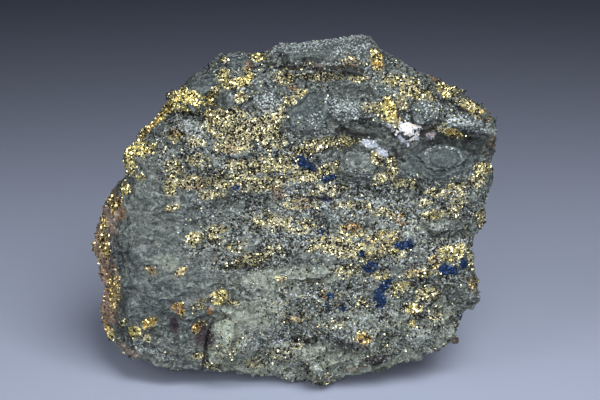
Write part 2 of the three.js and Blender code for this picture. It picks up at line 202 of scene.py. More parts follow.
WHITE = [  # calcite
    (406, 133, 17, 9, -14, 1.0), (370, 143, 9, 4, -15, 0.62), (382, 152, 7, 3.5, -20, 0.62),
    (431, 135, 7, 4, 20, 0.62),
]
FLECKS_AND_HIGHLIGHTS = [  # pale flecks, and painted highlights on the slab's top rim and the eye's upper rim
    (325, 41, 44, 5, 8, 1.0), (290, 50, 30, 4, 4, 0.6), (352, 50, 20, 6, 6, 0.8),
    (462, 123, 30, 6, -14, 1.0), (430, 106, 8, 9, 40, 0.6), (318, 122, 8, 10, 0, 0.5),
    # the eye's upper rim, a painted highlight
    (428, 151.5, 4, 1.6, 50, 1.0), (437, 146.5, 6, 1.3, 15, 1.0), (451, 148.5, 7, 1.3, -15, 0.9),
    (461, 155, 4, 1.4, -55, 0.8),
    (345, 108, 16, 9, -10, 0.9), (150, 350, 24, 4, -20, 0.8), (340, 200, 40, 16, 0, 0.5),
    (300, 235, 30, 12, 0, 0.5), (190, 66, 20, 6, 35, 0.4), (268, 105, 14, 9, 0, 0.9),
    (350, 350, 100, 30, 8, 0.5),
    (190, 128, 14, 10, 0, 0.8), (220, 215, 20, 8, 0, 0.4), (410, 240, 50, 20, 0, 0.3),
]
SHADED = [  # painted shade in undercuts and under ledges; some wide, weak ones dim ore
    (367, 134, 16, 3.5, -14, 1.0), (453, 138, 22, 3, 0, 1.0), (316, 68, 50, 3, -3, 0.7),
    (411, 150, 12, 5, 20, 0.8), (426, 142, 12, 3, 22, 0.8), (478, 147, 16, 8, -10, 1.0),
    (440, 183, 30, 1.8, 8, 0.7), (472, 133, 24, 2.5, -10, 0.8),
    (200, 112, 13, 1.6, 8, 0.9), (445, 102, 14, 2, -15, 0.8), (230, 267, 9, 4, 5, 1.0),
    (301, 341, 9, 3, -4, 0.8), (399, 155, 4, 5, -50, 1.0),
    (257, 148, 6, 9, 20, 0.8), (355, 187, 16, 3, 25, 0.5), (344, 343, 15, 4, 0, 0.7),
    (281, 283, 5, 2.5, 0, 0.9), (454, 355, 14, 4, 35, 0.5), (204, 172, 12, 4, 0, 0.6),
    (233, 189, 6, 3, 0, 0.7), (246, 111, 10, 2, 20, 0.6), (455, 181, 20, 3, 8, 0.6),
    (318, 184, 26, 2.5, 10, 0.6), (300, 230, 34, 12, 0, 0.3), (378, 246, 26, 14, 8, 0.55),
    (456, 208, 14, 14, 0, 0.65), (462, 103, 32, 12, -28, 0.4), (250, 70, 10, 3, 20, 0.8),
    (331, 110, 3, 20, -5, 0.7), (308, 133, 20, 2.5, 0, 0.7), (286, 112, 2.5, 18, -20, 0.6),
    (240, 107, 16, 2, 25, 0.8), (345, 86, 26, 2, -8, 0.6),
]
RICH = [  # ore with little rock between its grains
    (190, 101, 24, 12, -14, 1.0), (160, 120, 24, 6, 45, 1.0), (135, 152, 16, 14, 40, 0.8),
    (449, 94, 14, 9, -25, 0.4), (470, 107, 16, 7, -30, 0.4), (450, 132, 14, 4, -20, 0.8),
    (436, 215, 10, 5, 10, 0.4), (390, 111, 11, 12, 0, 0.8),
    (378, 245, 22, 13, 8, 0.3), (400, 285, 22, 12, 20, 0.3),
    (413, 310, 8, 6, 0, 0.9), (412, 324, 5, 4, 0, 0.9), (222, 298, 9, 7, 10, 0.9),
    (134, 332, 8, 7, -20, 0.9), (150, 322, 9, 5, 30, 0.9), (194, 329, 8, 9, 35, 0.8),
    (178, 309, 9, 8, 30, 0.8), (240, 80, 20, 12, 20, 0.5), (258, 57, 8, 5, 15, 0.7),
    (376, 62, 6, 14, 10, 0.7), (452, 253, 14, 8, 8, 0.5), (364, 338, 8, 6, 0, 1.0),
    (128, 180, 14, 24, 20, 0.6), (106, 270, 14, 80, 0, 0.7),
]

# Swellings of the broken face: a place as above, with its height in millimetres as the last.
SWELLS = [
    (430, 134, 6, 4, 20, 1.6), (449, 131, 14, 4, -14, 1.4), (225, 298, 10, 6, 0, 0.8),
    (191, 102, 21, 9, -14, 2.8), (325, 144, 34, 6, 9, 0.9), (450, 92, 20, 8, -25, 1.2),
    (418, 335, 16, 11, 10, 1.6), (440, 318, 14, 10, 0, 1.3), (390, 330, 14, 9, 10, 1.4),
    (380, 354, 20, 7, 8, 1.8), (350, 362, 14, 9, 0, 1.2), (318, 371, 12, 12, 0, 1.8),
    (327, 349, 9, 8, 0, 1.4), (309, 333, 9, 6, 10, 1.2), (299, 317, 12, 9, 10, 1.0),
    (325, 322, 12, 8, 0, 1.0), (270, 330, 16, 12, 0, 1.0), (450, 225, 24, 7, 5, 1.3),
    (150, 255, 22, 14, 0, 0.9), (165, 290, 20, 12, 0, 0.7), (145, 190, 14, 12, 0, 0.8),
    (252, 256, 14, 5, 14, 0.9), (300, 276, 36, 6, 4, 0.9), (472, 300, 12, 12, 0, 1.2),
]

# Facets that stand out of the broken face or lie in it: the corners of each, how far it
# stands out and how wide its edge slopes, both in millimetres.
FACETS = [
    # the hollow of the eye, the lid with the eye, and the eye on it
    ([(402, 150), (412, 143), (430, 138), (465, 137), (493, 142), (488, 156), (472, 166),
      (440, 178), (418, 174), (408, 162)], -1.1, 1.8),
    ([(400, 161), (416, 155), (426, 147), (438, 142.8), (448, 142.5), (460, 147.4),
      (467.6, 155), (469, 160), (467, 163), (458.4, 172), (446, 178), (432, 182),
      (415.5, 180.3), (405, 178), (398.6, 169)], 0.9, 0.9),
    ([(416, 155), (426, 147), (438, 142.8), (448, 142.5), (460, 147.4), (467.6, 155),
      (469, 160), (460, 165.8), (447.6, 170.7), (435.4, 172), (426, 167.3), (421, 161)],
     0.65, 0.6),
    # the bright clot of ore on its ledge
    ([(172, 111), (178, 95), (190, 88), (209, 96), (211, 105), (197, 110), (184, 114)], 1.6, 1.4),
    # the scuffed plate and the facets around it
    ([(285, 112), (302, 103), (308, 95), (327, 89), (331, 101), (328, 115), (320.5, 131),
      (298, 132), (291, 126)], 1.1, 0.6),
    ([(333, 102), (347, 104), (362, 112), (360, 122), (340, 126), (330, 118)], 0.6, 0.8),
    ([(365, 86), (406, 89), (405, 97), (386, 100), (376, 97)], 0.7, 0.5),
    ([(408.6, 106), (423, 97), (443, 103), (444.6, 112), (435, 120), (417, 126), (411, 120)],
     1.2, 0.8),
    ([(438, 119), (461, 110.6), (487, 117), (497, 130), (495, 137), (461, 131), (446, 128)],
     1.2, 0.5),
    ([(279, 46), (297, 43), (326, 41), (360, 35), (371, 38), (371.5, 48), (355, 51),
      (333, 55), (311, 61), (291, 59), (276, 52)], 0.9, 0.5),
    ([(258.6, 66.7), (267.4, 58), (282, 53.5), (294, 63.7), (279, 71), (264.4, 71)], -0.5, 0.6),
    ([(187, 84), (198, 74), (220, 74), (223, 81), (207, 94.5), (191, 94.5)], 0.6, 0.6),
    ([(222, 91), (231, 88.7), (236, 96), (234, 103), (224, 103)], 0.6, 0.5),
    # the domed oval, the pale boulder and the white calcite
    ([(337, 152), (356, 147), (377, 156), (380, 166), (374, 177), (350, 178), (334, 169)],
     1.6, 2.2),
    ([(207, 338), (216, 320), (228, 315), (236, 322), (239, 334), (232, 352), (221, 365),
      (206, 363)], 1.6, 0.7),
    ([(393, 130.5), (398.6, 126), (412, 127.5), (419, 135), (414, 140.5), (403, 139)], 2.4, 1.0),
]

# Cracks, each a row of points, with its half width and depth in millimetres.
CRACKS = [
    ([(416, 156), (421, 161), (426, 167.3), (435.4, 172), (447.6, 170.7), (460, 166),
      (469, 159)], 0.11, 0.6),
    ([(395, 150), (399, 157), (404, 160)], 0.4, 1.0),
    ([(343, 130), (356, 134), (372, 138)], 0.7, 1.3),
    ([(262, 62), (290, 67), (325, 69), (345, 66), (362, 71)], 0.5, 1.0),
    ([(184, 114), (196, 111.5), (209, 109), (214, 105)], 0.35, 0.8),
    ([(226, 113), (238, 106), (252, 99)], 0.3, 0.7),
    ([(436, 98), (455, 104), (470, 113)], 0.4, 1.0),
    ([(222, 268), (240, 267), (258, 266), (270, 257)], 0.5, 1.0),
    ([(294, 340), (305, 342), (316, 340)], 0.5, 1.0),
    ([(150, 217), (165, 213), (182, 215)], 0.2, 0.35),
    ([(147, 224), (166, 221), (186, 223)], 0.2, 0.25),
    ([(152, 231), (168, 228), (184, 230)], 0.2, 0.25),
    ([(298, 196), (330, 199), (360, 193)], 0.35, 0.7),
    ([(374, 190), (388, 183), (402, 180)], 0.4, 0.8),
    ([(212, 322), (206, 343), (203, 366)], 0.35, 0.9),
    ([(446, 352), (458, 338), (463, 322)], 0.5, 1.0),
    ([(285, 282), (330, 284), (372, 292)], 0.3, 0.6),
]

# The ring inside the swelling that looks like an eye: its ellipse, and how far it is sunk.
EYE_RING = (444.6, 158.5, 14.5, 10, 4)
EYE_RING_DEPTH_MM = 0.35

# Where each form ends, with 1 on its ellipse or at the half width of its crack, and how much of
# that is its slope. The ring's are counted from its ellipse.
ZONE_END, ZONE_SLOPE = 1.4, 0.7
SWELL_END, SWELL_SLOPE = 1.15, 0.45
CRACK_END, CRACK_SLOPE = 1.9, 1.2
RING_END, RING_SLOPE = 0.16, 0.1
CRACK_FRAY = 1.2  # how far the ripples push a crack aside, in steps
FACET_OUTSIDE, FACET_INSIDE = 0.3, 0.7  # the shares of a facet's slope on each side of its edge

# The zones are whole to the first depth behind the stone's middle and gone at the second, and
# they are gone on faces turned this far from the camera.
ZONES_WHOLE, ZONES_GONE = 4 * MM, 12 * MM
TURNED_AWAY = -0.35

ZONES = {
    "ore": ORE, "speckled": SPECKLED, "smooth": SMOOTH, "pale": PALE, "rust": RUST,
    "violet": VIOLET, "pink": PINK, "blue": BLUE, "white": WHITE, "flecks_and_highlights": FLECKS_AND_HIGHLIGHTS,
    "deep": DEEP_SCHIST_AND_SHADE, "knobby": KNOBBY, "shaded": SHADED, "rich": RICH,
}

# The patches of each zone on the hidden faces: their size in millimetres and their seed, how
# far they follow their own, the middling and the fine ripple, the height of these at which a
# patch begins and is whole, and how strong it is.
HIDDEN_PATCHES = {
    "ore": (14, 1, 0.9, 0.6, 0.3, 0.1, 0.55, 0.8),
    "speckled": (14, 1, 1, 0.3, 0, -0.1, 0.35, 1),
    "smooth": (14, 1, -1, 0, 0, 0, 0.4, 1),
    "pale": (18, 4, 1, 0, 0, 0.15, 0.5, 0.7),
    "rust": (11, 5, 1, 0.4, 0, 0.3, 0.6, 0.8),
    "violet": (12, 6, 1, 0, 0, 0.45, 0.6, 0.7),
    "pink": (15, 11, 1, 0, 0, 0.4, 0.6, 0.7),
    "blue": (7, 7, 1, 0, 0.2, 0.6, 0.68, 1),
    "white": (8, 8, 1, 0, 0.2, 0.68, 0.76, 1),
    "flecks_and_highlights": (16, 9, 1, 0, 0, 0.2, 0.5, 1),
    "deep": (20, 14, 1, 0, 0, -0.1, 0.4, 1),
    "knobby": (20, 15, 1, 0, 0, -0.1, 0.3, 1),
    "rich": (13, 17, 1, 0, 0, 0, 0.5, 1),
}

# ---------------------------------------------------------------- small helps

SEED_STEP = 7.3  # how many bumps lie between the ripples of two seeds


def select_only(piece):
    bpy.ops.object.select_all(action="DESELECT")
    piece.select_set(True)
    bpy.context.view_layer.objects.active = piece


def apply_modifier(piece, kind, name, **settings):
    """Adds a modifier with these settings to the piece and applies it."""
    select_only(piece)
    modifier = piece.modifiers.new(name, kind)
    for key, value in settings.items():
        setattr(modifier, key, value)
    bpy.ops.object.modifier_apply(modifier=name)


def smooth_ramp(value, low, high):
    share = np.clip((value - low) / (high - low), 0, 1)
    return share * share * (3 - 2 * share)


def ripple(points, length, seed):
    """A smooth height from -1 to 1, with a bump or a dip about every length metres."""
    scaled = points / length + seed * SEED_STEP
    return np.array([noise.noise(Vector(p)) for p in scaled])


def vertex_places(piece):
    mesh = piece.data
    places = np.zeros(len(mesh.vertices) * 3, np.float32)
    mesh.vertices.foreach_get("co", places)
    normals = np.zeros(len(mesh.vertices) * 3, np.float32)
    mesh.vertices.foreach_get("normal", normals)
    return places.reshape(-1, 3).astype(float), normals.reshape(-1, 3).astype(float)


# ---------------------------------------------------------------- places on the broken face


def view_places(points):
    """Where the camera sees each point, counted as the places above are."""
    from_camera = points - np.array(AIM + BACK * CAMERA_DISTANCE)
    depth = -(from_camera @ np.array(BACK))
    across = VIEW_STEPS[0] / 2 + STEPS_PER_SLOPE * (from_camera @ np.array(RIGHT)) / depth
    down = VIEW_STEPS[1] / 2 - STEPS_PER_SLOPE * (from_camera @ np.array(UP)) / depth
    return np.stack([across, down], axis=1)


def how_open(points, normals):
    """1 on the broken face that the camera looks at, 0 on the back and far down the sides."""
    facing = smooth_ramp(normals @ np.array(BACK), TURNED_AWAY, 0)
    return facing * smooth_ramp(-points[:, 1], -ZONES_GONE, -ZONES_WHOLE)


def ellipse_distance(places, x, y, half_x, half_y, turn):
    """0 at the middle of a tilted ellipse and 1 on its edge."""
    dx, dy = places[:, 0] - x, y - places[:, 1]
    cosine, sine = math.cos(math.radians(turn)), math.sin(math.radians(turn))
    return np.hypot((dx * cosine + dy * sine) / half_x, (dy * cosine - dx * sine) / half_y)


def zone_weight(places, zones, wobble):
    weight = np.zeros(len(places))
    for *ellipse, strength in zones:
        distance = ellipse_distance(places, *ellipse) + wobble
        weight = np.maximum(weight, strength * smooth_ramp(ZONE_END - distance, 0, ZONE_SLOPE))
    return weight


def crack_depth(places):
    """How deep the cracks and the eye's ring are cut at each place, in metres."""
    depth = np.zeros(len(places))
    for row, half_width, deepest in CRACKS:
        half = half_width / MM_PER_STEP
        for start, end in zip(row, row[1:]):
            a, b = np.array(start, float), np.array(end, float)
            share = np.clip((places - a) @ (b - a) / ((b - a) @ (b - a)), 0, 1)
            distance = np.linalg.norm(places - a - share[:, None] * (b - a), axis=1)
            cut = smooth_ramp(CRACK_END - distance / half, 0, CRACK_SLOPE)
            depth = np.maximum(depth, deepest * MM * cut)
    ring = np.abs(ellipse_distance(places, *EYE_RING) - 1)
    sunk = smooth_ramp(RING_END - ring, 0, RING_SLOPE)
    return np.maximum(depth, EYE_RING_DEPTH_MM * MM * sunk)


def depth_inside(places, outline):
    """How far each place lies inside the outline, in millimetres: below 0 outside it."""
    nearest = np.full(len(places), np.inf)
    inside = np.zeros(len(places), bool)
    for (x1, y1), (x2, y2) in zip(outline, outline[1:] + outline[:1]):
        dx, dy = places[:, 0] - x1, places[:, 1] - y1
        along = dx * (x2 - x1) + dy * (y2 - y1)
        share = np.clip(along / math.hypot(x2 - x1, y2 - y1) ** 2, 0, 1)
        nearest = np.minimum(nearest, np.hypot(dx - share * (x2 - x1), dy - share * (y2 - y1)))
        level = (places[:, 1] < y1) != (places[:, 1] < y2)
        inside ^= level & (dx < (x2 - x1) * dy / (y2 - y1 if y2 != y1 else 1))
    return np.where(inside, nearest, -nearest) * MM_PER_STEP


def swell_height(places, wobble):
    """How far the broken face swells at each place, in metres."""
    height = np.zeros(len(places))
    for *ellipse, tallest in SWELLS:
        distance = ellipse_distance(places, *ellipse) + 0.5 * wobble
        swell = smooth_ramp(SWELL_END - distance, 0, SWELL_SLOPE)
        height = np.maximum(height, tallest * MM * swell)
    for outline, rise, edge in FACETS:
        inside = depth_inside(places, outline)
        height += rise * MM * smooth_ramp(inside, -FACET_OUTSIDE * edge, FACET_INSIDE * edge)
    return height


def surface_ripples(points):
    """The middling and the fine ripple that fray the edges of every zone."""
    middling = ripple(points, 6 * MM, 2)
    fine = 0.6 * ripple(points, 2.2 * MM, 3) + 0.5 * ripple(points, MM, 4)
    return middling, fine


def hidden_weight(points, middling, fine, patches):
    """The weight of a zone on the hidden faces, where it lies in patches."""
    size, seed, own_share, middling_share, fine_share, begins, whole, strength = patches
    height = own_share * ripple(points, size * MM, seed)
    height = height + middling_share * middling + fine_share * fine
    return strength * smooth_ramp(height, begins, whole)


def clear_specks(weights, points, fine):
    """Leaves few specks on smooth facets, and bare patches of schist among the speckled."""
    weights["speckled"] *= 1 - 0.75 * weights["smooth"]
    bare = 1 - smooth_ramp(ripple(points, 3.6 * MM, 16) + 0.5 * fine, -0.35, 0.05)
    bare *= 1 - 0.8 * weights["ore"]
    weights["smooth"] = np.maximum(weights["smooth"], 0.8 * bare * weights["speckled"])
    weights["speckled"] *= 1 - 0.85 * bare


def mineral_weights(piece):
    """The weight of each mineral and surface at each vertex of the stone."""
    points, normals = vertex_places(piece)
    places = view_places(points)
    open_face = how_open(points, normals)
    middling, fine = surface_ripples(points)
    wobble = 0.3 * middling + 0.5 * fine
    weights = {}
    for name, zones in ZONES.items():
        weights[name] = open_face * zone_weight(places, zones, wobble)
        if name in HIDDEN_PATCHES:
            hidden = hidden_weight(points, middling, fine, HIDDEN_PATCHES[name])
            weights[name] += (1 - open_face) * hidden
    clear_specks(weights, points, fine)
    frayed = places + CRACK_FRAY * np.stack([middling, fine], axis=1)
    weights["crack"] = crack_depth(frayed) * open_face
    weights["swell"] = swell_height(places, wobble) * open_face
    return weights


# ---------------------------------------------------------------- the rock

NET_SIZE = 0.5 * MM
ROCK_TRIANGLES = 190000
SHARP_EDGE = math.radians(45)

# The level of each kind of pattern that leaves the surface where it is.
RIDGE_LEVEL = 0.9
CELL_LEVEL = 0.35


def stone_copy():
    """A copy of the solid with its corners joined."""
    select_only(frame["nodes"]["chalcopyrite_ore"])
    bpy.ops.object.duplicate()
    rock = bpy.context.object
    rock.parent = None
    rock.name = rock.data.name = "ore_rock"
    del rock["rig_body"], rock["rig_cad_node"]
    bpy.ops.object.mode_set(mode="EDIT")
    bpy.ops.mesh.select_all(action="SELECT")
    bpy.ops.mesh.remove_doubles(threshold=1e-6)
    bpy.ops.object.mode_set(mode="OBJECT")
    return rock


def add_group(piece, name, weights):
    group = piece.vertex_groups.new(name=name)
    for index, weight in enumerate(weights):
        if weight > 0.01:
            group.add([index], float(weight), "REPLACE")


def texture(name, kind, **settings):
    pattern = bpy.data.textures.new(name, kind)
    for key, value in settings.items():
        setattr(pattern, key, value)
    return pattern


def pattern_frame(size, turn):
    """A frame for a pattern: its size in metres along each axis and its turn about Y."""
    bpy.ops.object.empty_add(location=(0, 0, 0), rotation=(0, math.radians(turn), 0))
    guide = bpy.context.object
    guide.scale = size
    bpy.context.view_layer.update()
    return guide


def push(rock, pattern, guide, strength, group="", middle=0.5):
    """Moves the rock's surface in and out by the pattern."""
    apply_modifier(
        rock, "DISPLACE", pattern.name, texture=pattern, texture_coords="OBJECT",
        texture_coords_object=guide, strength=strength, mid_level=middle, vertex_group=group,
    )


def move_by_weight(rock, name, heights, sign=1):
    """Moves the rock's surface out by the heights above 0, or in with a sign of -1."""
    furthest = heights.max()
    add_group(rock, name, heights / furthest)
    apply_modifier(rock, "DISPLACE", name, strength=sign * furthest, mid_level=0,
                   vertex_group=name)


def cell_pattern(name):
    return texture(name, "VORONOI", distance_metric="DISTANCE", noise_scale=1, weight_1=-1,
                   weight_2=1)


def break_surface(rock):
    """Gives the rock its swellings, broken layers, hackly lumps, grain and cracks."""
    weights = mineral_weights(rock)
    rough = np.clip(1 - 0.85 * weights["smooth"], 0.12, 1)
    add_group(rock, "rough", rough)
    add_group(rock, "grainy", np.clip(weights["speckled"] + weights["ore"], 0, 1) * rough)
    add_group(rock, "knobby", weights["knobby"])
    move_by_weight(rock, "swell", weights["swell"])
    move_by_weight(rock, "dent", -weights["swell"], -1)
    layers = pattern_frame((9 * MM, 8 * MM, 3.6 * MM), -9)
    blocks = pattern_frame((5.5 * MM, 5 * MM, 3.6 * MM), 12)
    knobs = pattern_frame((3.4 * MM, 3.4 * MM, 2.8 * MM), 30)
    lumps = pattern_frame((2.4 * MM, 2.4 * MM, 1.9 * MM), -20)
    grain = pattern_frame((1.1 * MM, 1.1 * MM, 0.9 * MM), 0)
    push(rock, texture("broken_layers", "MUSGRAVE", musgrave_type="RIDGED_MULTIFRACTAL",
                       noise_scale=1, octaves=3, lacunarity=2.1, dimension_max=0.9),
         layers, 0.7 * MM, "rough", RIDGE_LEVEL)
    push(rock, cell_pattern("hackly_blocks"), blocks, 1.2 * MM, "rough", CELL_LEVEL)
    push(rock, cell_pattern("knobs"), knobs, 1.7 * MM, "knobby", CELL_LEVEL)
    push(rock, cell_pattern("hackly_lumps"), lumps, 0.8 * MM, "rough", CELL_LEVEL)
    push(rock, texture("fine_hackle", "CLOUDS", noise_scale=0.8, noise_depth=4,
                       noise_type="HARD_NOISE"), lumps, 1.0 * MM, "rough")
    push(rock, cell_pattern("ore_grain"), grain, 0.5 * MM, "grainy", CELL_LEVEL)
    push(rock, texture("faint_hackle", "CLOUDS", noise_scale=1, noise_depth=3,
                       noise_type="HARD_NOISE"), lumps, 0.3 * MM)
    move_by_weight(rock, "crack", weights["crack"], -1)


def stand_on_ground(rock):
    """Cuts off what has come below the ground, and closes the cut."""
    select_only(rock)
    bpy.ops.object.mode_set(mode="EDIT")
    bpy.ops.mesh.select_all(action="SELECT")
    bpy.ops.mesh.bisect(plane_co=(0, 0, 0), plane_no=(0, 0, 1), use_fill=True, clear_inner=True)
    bpy.ops.object.mode_set(mode="OBJECT")


def make_rock():
    rock = stone_copy()
    apply_modifier(rock, "REMESH", "even_net", mode="VOXEL", voxel_size=NET_SIZE,
                   use_smooth_shade=True)
    apply_modifier(rock, "SMOOTH", "soften_corners", factor=0.5, iterations=4)
    break_surface(rock)
    points, normals = vertex_places(rock)
    add_group(rock, "unseen", 1 - how_open(points, normals))
    triangles = len(rock.data.polygons) * 2
    apply_modifier(rock, "DECIMATE", "lighten", ratio=ROCK_TRIANGLES / triangles,
                   vertex_group="unseen", vertex_group_factor=0.6)
    stand_on_ground(rock)
    select_only(rock)
    bpy.ops.object.vertex_group_remove(all=True)
    bpy.ops.object.shade_smooth_by_angle(angle=SHARP_EDGE)
    return rock


def depth_of_hollows(piece, rounds):
    """How far each vertex lies below its surroundings, in metres: more rounds look wider."""
    mesh = piece.data
    points, normals = vertex_places(piece)
    ends = np.zeros(len(mesh.edges) * 2, np.int32)
    mesh.edges.foreach_get("vertices", ends)
    first, second = ends.reshape(-1, 2).T
    here, there = np.concatenate([first, second]), np.concatenate([second, first])
    neighbours = np.maximum(np.bincount(here, minlength=len(points)), 1)
    smoothed = points.copy()
    for _ in range(rounds):
        for axis in range(3):
            total = np.bincount(here, smoothed[there, axis], len(points))
            smoothed[:, axis] = 0.5 * smoothed[:, axis] + 0.5 * total / neighbours
    return ((smoothed - points) * normals).sum(axis=1)


def rock_weights(rock):
    """The weight of each mineral and form at each vertex of the finished rock."""
    weights = mineral_weights(rock)
    # painted shade: how far each vertex lies in a hollow, which the finish darkens
    weights["hollow"] = np.maximum(
        0.6 * smooth_ramp(depth_of_hollows(rock, 14), 0.06 * MM, 0.5 * MM),
        smooth_ramp(depth_of_hollows(rock, 3), 0.02 * MM, 0.15 * MM),
    )
    weights["raised"] = smooth_ramp(-depth_of_hollows(rock, 6), 0.04 * MM, 0.25 * MM)
    return weights


def add_attribute(piece, name, values):
    attribute = piece.data.attributes.new(name, "FLOAT", "POINT")
    attribute.data.foreach_set("value", np.asarray(values, np.float32))


# ---------------------------------------------------------------- the grains

# Each piece of grains: its finish, how many grains it has, the smallest and the largest in
# millimetres, and its seed.
GRAINS = {
    "chalcopyrite_grains": ("brassy_chalcopyrite", 9500, 0.35, 0.95, 21),
    "chalcopyrite_specks": ("brassy_chalcopyrite", 10500, 0.3, 0.75, 26),
    "dark_grains": ("dark_sulphide", 17000, 0.35, 0.9, 22),
    "pale_grains": ("pale_silicate", 9000, 0.3, 0.8, 23),
    "bornite_grains": ("blue_bornite", 1100, 0.4, 1.1, 24),
    "calcite_grains": ("white_calcite", 450, 0.5, 1.2, 25),
}
FEW_LARGE = 2.5  # the higher this power, the fewer grains are large
DEEPEST, HIGHEST = -0.12, 0.3  # how far a grain's middle lies above the rock, in its own size
OFF_GROUND = 0.6  # how far it lies above the ground at least, in its own size
OWN_TONE, PLACE_TONE = 0.35, 0.65  # how much of its tone is its own, and how much its place's


def open_shape(name, offset, seed):
    """Names the new shape and moves its corners at random by up to so much."""
    shape = bpy.context.object
    shape.name = shape.data.name = name
    bpy.ops.object.mode_set(mode="EDIT")
    bpy.ops.mesh.select_all(action="SELECT")
    bpy.ops.transform.vertex_random(offset=offset, uniform=0.0, normal=0.0, seed=seed)
    return shape


def close_shape():
    """Leaves the shape as triangles that face outwards."""
    bpy.ops.mesh.quads_convert_to_tris()
    bpy.ops.mesh.normals_make_consistent(inside=False)
    bpy.ops.object.mode_set(mode="OBJECT")


def grain_shape(name, stretch, seed):
    """One angular grain, 1 across, with a corner broken off."""
    bpy.ops.object.select_all(action="DESELECT")
    bpy.ops.mesh.primitive_cube_add(size=0.8)
    grain = open_shape(name, 0.22, seed)
    bpy.ops.transform.resize(value=stretch)
    bpy.ops.mesh.bisect(plane_co=(0.18, 0.2, 0.14), plane_no=(1, 1, 0.7), use_fill=True,
                        clear_outer=True)
    bpy.ops.mesh.select_all(action="SELECT")
    close_shape()
    return grain


def speck_shape(name, seed):
    """One speck with four sides and a base, 1 across."""
    bpy.ops.object.select_all(action="DESELECT")
    bpy.ops.mesh.primitive_cone_add(vertices=4, radius1=0.5, radius2=0, depth=0.8)
    speck = open_shape(name, 0.2, seed)
    close_shape()
    return speck


def shape_arrays(shape):
    faces = np.array([tuple(face.vertices) for face in shape.data.polygons])
    return vertex_places(shape)[0], faces


def rock_triangles(rock):
    """The corners, their places, the outward normal and the area of each triangle."""
    mesh = rock.data
    mesh.calc_loop_triangles()
    corners = np.zeros(len(mesh.loop_triangles) * 3, np.int32)
    mesh.loop_triangles.foreach_get("vertices", corners)
    corners = corners.reshape(-1, 3)
    points = vertex_places(rock)[0][corners]
    cross = np.cross(points[:, 1] - points[:, 0], points[:, 2] - points[:, 0])
    length = np.linalg.norm(cross, axis=1)
    return corners, points, cross / np.maximum(length, 1e-15)[:, None], length / 2


def random_turns(count, random):
    """A turn matrix for each of so many grains."""
    w, x, y, z = random.normal(size=(4, count))
    length = np.sqrt(w * w + x * x + y * y + z * z)
    w, x, y, z = w / length, x / length, y / length, z / length
    return np.array([
        [1 - 2 * (y * y + z * z), 2 * (x * y - z * w), 2 * (x * z + y * w)],
        [2 * (x * y + z * w), 1 - 2 * (x * x + z * z), 2 * (y * z - x * w)],
        [2 * (x * z - y * w), 2 * (y * z + x * w), 1 - 2 * (x * x + y * y)],
    ]).transpose(2, 0, 1)


def grain_spots(rock, chance, count, smallest, largest, random):
    """Where so many grains lie on the rock, their sizes, and the rock's vertex beside each."""
    corners, points, outward, area = rock_triangles(rock)
    likely = chance[corners].mean(axis=1) * area
    picked = random.choice(len(likely), count, p=likely / likely.sum())
    share = random.random((2, count))
    share = np.where(share.sum(axis=0) > 1, 1 - share, share)
    a, b, c = points[picked].transpose(1, 0, 2)
    places = a + share[0][:, None] * (b - a) + share[1][:, None] * (c - a)
    sizes = (smallest + (largest - smallest) * random.random(count) ** FEW_LARGE) * MM
    places += outward[picked] * (sizes * random.uniform(DEEPEST, HIGHEST, count))[:, None]
    places[:, 2] = np.maximum(places[:, 2], OFF_GROUND * sizes)
    return places, sizes, corners[picked, 0]


def join_grains(name, shapes, kinds, turns, sizes, places):
    """A mesh of all the grains, and which grain each of its vertices belongs to."""
    points, faces, owners = [], [], []
    used = 0
    for kind, shape in enumerate(shapes):
        shape_points, shape_faces = shape_arrays(shape)
        mine = np.flatnonzero(kinds == kind)
        turned = np.einsum("nij,kj->nki", turns[mine], shape_points)
        made = turned * sizes[mine, None, None] + places[mine, None, :]
        starts = used + np.arange(len(mine)) * len(shape_points)
        points.append(made.reshape(-1, 3))
        faces.append((shape_faces[None] + starts[:, None, None]).reshape(-1, 3))
        owners.append(np.repeat(mine, len(shape_points)))
        used += len(mine) * len(shape_points)
    mesh = bpy.data.meshes.new(name)
    mesh.from_pydata(np.concatenate(points).tolist(), [], np.concatenate(faces).tolist())
    return mesh, np.concatenate(owners)


def scatter(rock, name, shapes, chance, light, tarnish):
    """One piece of grains, half sunk in the rock, most of them where the chance is high."""
    finish, count, smallest, largest, seed = GRAINS[name]
    random = np.random.default_rng(seed)
    places, sizes, beside = grain_spots(rock, chance, count, smallest, largest, random)
    turns = random_turns(count, random)
    kinds = random.integers(len(shapes), size=count)
    tones = OWN_TONE * random.random(count) + PLACE_TONE * light[beside]
    mesh, owners = join_grains(name, shapes, kinds, turns, sizes, places)
    piece = bpy.data.objects.new(name, mesh)
    bpy.context.collection.objects.link(piece)
    add_attribute(piece, "tone", tones[owners])
    add_attribute(piece, "tarnish", tarnish[beside][owners])
    mesh.materials.append(grain_finish(finish))
    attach(piece, "root")


